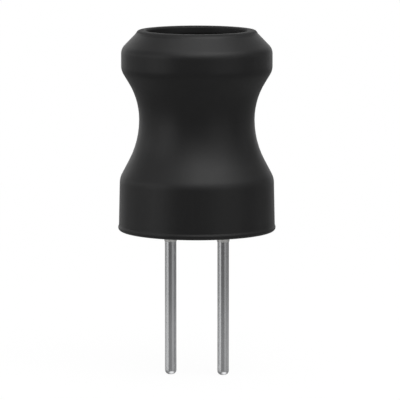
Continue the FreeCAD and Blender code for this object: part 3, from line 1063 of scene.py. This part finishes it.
@dataclass
class SolderJoint(Turned):
    """The solder round one hooked wire end, drawn down to a thin edge on the lead."""

    side: Side = Side.LEFT
    body: float = 1.12
    body_span: Span = (0.28, 0.55)
    body_round: float = 0.12
    throat: float = 0.74
    throat_height: float = -0.06
    throat_bend: float = 0.50
    lip: float = 0.59
    lip_height: float = -1.12
    lip_round: float = 0.02
    point_step: float = 0.06
    segments: int = 96
    wander: float = 0.035
    wander_per_mm: float = 0.9
    lead_margin: Span = (0.06, 0.26)
    top_margin: Span = (0.02, 0.17)
    seed: float = 7.0
    finish: Finish = field(default_factory=TinSolder)

    def build(self) -> None:
        """Turn the joint and tie it to the frame."""
        label = self.side.label
        self.turn(f"solder_fillet_{label}", f"solder_joint_{label}", self.side.value)

    def outline(self) -> Outline:
        """The joint's outline, down along the lead and back up outside."""
        low, top = self.body_span
        return Outline((
            Corner(NECK_RADIUS, top),
            Corner(NECK_RADIUS, NECK_STEP[1]),
            Corner(LEAD_RADIUS, NECK_STEP[0]),
            Corner(LEAD_RADIUS, self.lip_height),
            Corner(self.lip, self.lip_height, self.lip_round),
            Corner(self.throat, self.throat_height, self.throat_bend),
            Corner(self.body, low, self.body_round),
            Corner(self.body, top),
        ), step=self.point_step)

    def freedom(self, spot: Vector) -> float:
        """How far a point may wander: most at the body, not at all on the lead or at the flange."""
        outer = rise(spot.x - LEAD_RADIUS, *self.lead_margin)
        return outer * rise(self.body_span[1] - spot.y, *self.top_margin)


@dataclass(frozen=True)
class Softbox:
    """A flat soft lamp that looks at the object, placed by its direction from it.

    Its angles are in degrees and its lengths in metres.
    """

    name: str
    azimuth: float
    elevation: float
    distance: float
    width: float
    height: float
    radiance: float
    aim: float = 0.003

    def hang(self) -> None:
        """Add the lamp."""
        data = bpy.data.lights.new(self.name, "AREA")
        data.shape = "RECTANGLE"
        data.size = self.width
        data.size_y = self.height
        data.energy = self.radiance * math.pi * self.width * self.height
        lamp = bpy.data.objects.new(self.name, data)
        back = direction(self.azimuth, self.elevation)
        lamp.location = Vector((0.0, 0.0, self.aim)) + back * self.distance
        lamp.rotation_euler = (-back).to_track_quat("-Z", "Y").to_euler()
        bpy.context.scene.collection.objects.link(lamp)


def direction(azimuth: float, elevation: float) -> Vector:
    """The direction from the object towards a lamp or the camera.

    Args:
        azimuth: Degrees round the object: 0 is the front, 90 the right.
        elevation: Degrees above the horizon.

    Returns:
        A vector of length one.
    """
    around = math.radians(azimuth)
    above = math.radians(elevation)
    return Vector((
        math.sin(around) * math.cos(above),
        -math.cos(around) * math.cos(above),
        math.sin(above),
    ))


@dataclass
class Studio:
    """The floor, the pale room round it, the soft lamps and the camera.

    What is white to the camera gives no light of its own to the object. The floor's light is how
    bright the lamps make it, so that it stays white where its shadow is mixed in. Near the object and
    in front of each lead's foot the floor also glows, to reflected rays only: painted reflections.
    """

    floor_height: float = -14.12
    floor_reach: float = 3000.0
    floor_colour: Colour = (0.235, 0.235, 0.235)
    floor_roughness: float = 0.10
    floor_refraction: float = 1.5
    floor_light: float = 0.20
    shadow_share: float = 0.25
    shadow_reach: Span = (30.0, 150.0)
    # Painted reflections: the floor glows to reflected rays only, near the object and at each lead's
    # foot.
    near_painted_reflection: float = 0.18
    painted_reflection_reach: Span = (15.0, 70.0)
    # Painted highlight: where the floor glows to reflected rays in front of each lead's foot.
    painted_tip_glint_spot: Triple = (0.30, -0.70, 0.0)
    painted_tip_glint_reach: Span = (0.20, 0.70)
    sweep_edge: Span = (150.0, 600.0)
    room_levels: Span = (0.07, 0.43)
    room_rise: Span = (0.10, 0.55)
    backdrop_way: Triple = (-0.22, 0.976, 0.0)
    backdrop_edge: Span = (0.52, 1.0)
    camera_azimuth: float = 5.0
    camera_elevation: float = 7.364
    camera_distance: float = 348.4
    camera_aim: float = 2.898
    camera_lens: float = 326.2
    camera_sensor: float = 36.0
    camera_clip: Span = (0.01, 20.0)
    axis_column: float = 196.87
    lamps: tuple[Softbox, ...] = (
        Softbox("overhead_box", 10.0, 86.0, 0.50, 0.46, 0.46, 0.87),
        Softbox("front_box", 28.0, 56.0, 0.50, 0.46, 0.24, 2.38),
        Softbox("low_front_box", 20.0, 33.0, 0.50, 0.60, 0.20, 0.63),
        Softbox("high_right_box", 75.0, 45.0, 0.50, 0.26, 0.26, 0.85),
        Softbox("high_left_box", -33.0, 50.0, 0.50, 0.24, 0.24, 0.49),
        Softbox("left_box", -57.0, 8.0, 0.50, 0.35, 0.34, 1.32),
        Softbox("right_box", 53.0, 8.0, 0.50, 0.44, 0.30, 0.55),
        Softbox("left_strip", -98.0, 8.0, 0.50, 0.26, 0.09, 1.40),
        Softbox("right_strip", 108.0, 8.0, 0.50, 0.20, 0.09, 0.70),
    )

    def build(self) -> None:
        """Put up the floor, the room, the lamps and the camera."""
        self.lay_floor()
        self.paint_room()
        for lamp in self.lamps:
            lamp.hang()
            log.info("%s: radiance %.2f", lamp.name, lamp.radiance)
        self.set_camera()
        bpy.context.scene.view_settings.view_transform = "Standard"

    def showing(self, bench: Bench, behind: bpy.types.NodeSocket) -> bpy.types.NodeSocket:
        """Which rays meet the white ground: the camera's, and reflected ones where it lies behind.

        Args:
            bench: The tree to work in.
            behind: How far a place is behind the object, from 0 to 1.

        Returns:
            The share of white as a socket.
        """
        rays = bench.add("ShaderNodeLightPath").outputs
        mirrored = bench.math("MULTIPLY", rays["Is Glossy Ray"], behind)
        direct = bench.math("MAXIMUM", rays["Is Camera Ray"], rays["Is Transmission Ray"])
        return bench.math("MAXIMUM", direct, mirrored)

    def within(self, bench: Bench, away: Feed, reach: Span) -> bpy.types.NodeSocket:
        """How near a place is to the object, from 0 to 1.

        Args:
            bench: The tree to work in.
            away: Its distance in metres.
            reach: Where that starts to count as far, and where it fully does, in millimetres.

        Returns:
            The nearness as a socket.
        """
        return bench.math("SUBTRACT", 1.0, bench.ease(away, *metres(reach)))

    def lay_floor(self) -> None:
        """A plain pale floor at the tips of the leads, white to the camera but for the shadow."""
        reach = self.floor_reach * MM
        level = self.floor_height * MM
        corners = [(-reach, -reach), (reach, -reach), (reach, reach), (-reach, reach)]
        mesh = bpy.data.meshes.new("pale_floor")
        mesh.from_pydata([(x, y, level) for x, y in corners], [], [(0, 1, 2, 3)])
        paint = bpy.data.materials.new("pale_floor")
        paint.use_nodes = True
        paint.node_tree.nodes.clear()
        self.paint_floor(Bench(paint.node_tree))
        mesh.materials.append(paint)
        floor = bpy.data.objects.new("pale_floor", mesh)
        bpy.context.scene.collection.objects.link(floor)

    def paint_floor(self, bench: Bench) -> None:
        """Paint the floor: a smooth sheet to reflected rays, white with a shadow to the camera.

        Near the object and at each lead's foot the sheet glows to reflected rays only: painted
        reflections.

        Args:
            bench: The floor's tree.
        """
        place = bench.add("ShaderNodeTexCoord").outputs["Object"]
        across, along, _ = bench.add("ShaderNodeSeparateXYZ", {0: place}).outputs
        depth_squared = bench.math("MULTIPLY", along, along)
        away = bench.math("SQRT", bench.math("MULTIPLY_ADD", across, across, depth_squared))
        colour = (*self.floor_colour, 1.0)
        # Painted reflection: a glow that only reflected rays see, near the object and at each lead's
        # foot.
        near = bench.math("MULTIPLY", self.within(bench, away, self.painted_reflection_reach), self.near_painted_reflection)
        mirrored = bench.add("ShaderNodeLightPath").outputs["Is Glossy Ray"]
        painted_glints = bench.math("ADD", near, self.painted_tip_glint(bench, across, along))
        painted_glow = bench.math("MULTIPLY", mirrored, painted_glints)
        sheet = bench.add("ShaderNodeBsdfPrincipled", {
            "Base Color": colour, "Roughness": self.floor_roughness, "IOR": self.floor_refraction,
            "Emission Color": (1.0, 1.0, 1.0, 1.0), "Emission Strength": painted_glow,
        }).outputs[0]
        kept = bench.math("MULTIPLY", self.within(bench, away, self.shadow_reach), self.shadow_share)
        matt = bench.add("ShaderNodeBsdfDiffuse", {"Color": colour}).outputs[0]
        shaded = bench.add("ShaderNodeMixShader", {0: kept, 2: matt}).outputs[0]
        rest = bench.math("SUBTRACT", 1.0, bench.math("MULTIPLY", kept, self.floor_light))
        white = bench.add("ShaderNodeEmission", {"Strength": rest}).outputs[0]
        ground = bench.add("ShaderNodeAddShader", {0: shaded, 1: white}).outputs[0]
        seen = self.showing(bench, bench.ease(along, *metres(self.sweep_edge)))
        whole = bench.add("ShaderNodeMixShader", {0: seen, 1: sheet, 2: ground})
        bench.add("ShaderNodeOutputMaterial", {"Surface": whole.outputs[0]})

    def painted_tip_glint(
        self, bench: Bench, across: bpy.types.NodeSocket, along: bpy.types.NodeSocket
    ) -> bpy.types.NodeSocket:
        """A painted reflection: a small spot in front of each lead's foot that glows to reflected rays
        only, a painted highlight on the lead's tip.

        Args:
            bench: The floor's tree.
            across: A place's X.
            along: Its Y.

        Returns:
            The spot's strength as a socket.
        """
        lead = bench.math("MULTIPLY", bench.math("SIGN", across), LEAD_PLACE * MM)
        foot = bench.add("ShaderNodeCombineXYZ", {0: bench.math("SUBTRACT", across, lead), 1: along})
        inputs = {0: foot.outputs[0], 1: metres(self.painted_tip_glint_spot)}
        beside = bench.add("ShaderNodeVectorMath", inputs, operation="DISTANCE").outputs["Value"]
        return self.within(bench, beside, self.painted_tip_glint_reach)

    def paint_room(self) -> None:
        """A plain pale room: white to the camera and in reflections from behind, dimmer in front."""
        world = bpy.data.worlds.new("pale_room")
        bpy.context.scene.world = world
        world.use_nodes = True
        world.node_tree.nodes.clear()
        bench = Bench(world.node_tree)
        way = bench.add("ShaderNodeTexCoord").outputs["Generated"]
        up = bench.add("ShaderNodeSeparateXYZ", {0: way}).outputs[2]
        level = bench.span(bench.ease(up, *self.room_rise), *self.room_levels)
        inputs = {0: way, 1: self.backdrop_way}
        behind = bench.add("ShaderNodeVectorMath", inputs, operation="DOT_PRODUCT")
        seen = self.showing(bench, bench.ease(behind.outputs["Value"], *self.backdrop_edge))
        strength = bench.span(seen, level, 1.0)
        sky = bench.add("ShaderNodeBackground", {"Color": (1.0, 1.0, 1.0, 1.0), "Strength": strength})
        bench.add("ShaderNodeOutputWorld", {"Surface": sky.outputs[0]})

    def set_camera(self) -> None:
        """Set the camera where the photograph was taken from."""
        data = bpy.data.cameras.new("camera")
        data.lens = self.camera_lens
        data.sensor_width = self.camera_sensor
        data.shift_x = (PICTURE_WIDTH / 2 - self.axis_column) / PICTURE_WIDTH
        data.clip_start, data.clip_end = self.camera_clip
        camera = bpy.data.objects.new("camera", data)
        back = direction(self.camera_azimuth, self.camera_elevation)
        camera.location = Vector((0.0, 0.0, self.camera_aim * MM)) + back * self.camera_distance * MM
        camera.rotation_euler = (-back).to_track_quat("-Z", "Y").to_euler()
        bpy.context.scene.collection.objects.link(camera)
        bpy.context.scene.camera = camera


def main() -> None:
    """Build the inductor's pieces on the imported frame, then the studio."""
    logging.basicConfig(level=logging.INFO, format="%(message)s")
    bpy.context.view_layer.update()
    turner = TurnedWall()
    pieces: list[Piece] = [HeatShrinkTube(turner), Drum(), Winding(WoundWire())]
    for side in Side:
        pieces += [Lead(turner, side=side), SolderJoint(turner, side=side)]
    for piece in pieces:
        piece.build()
    Studio().build()


if __name__ == "__main__":
    main()
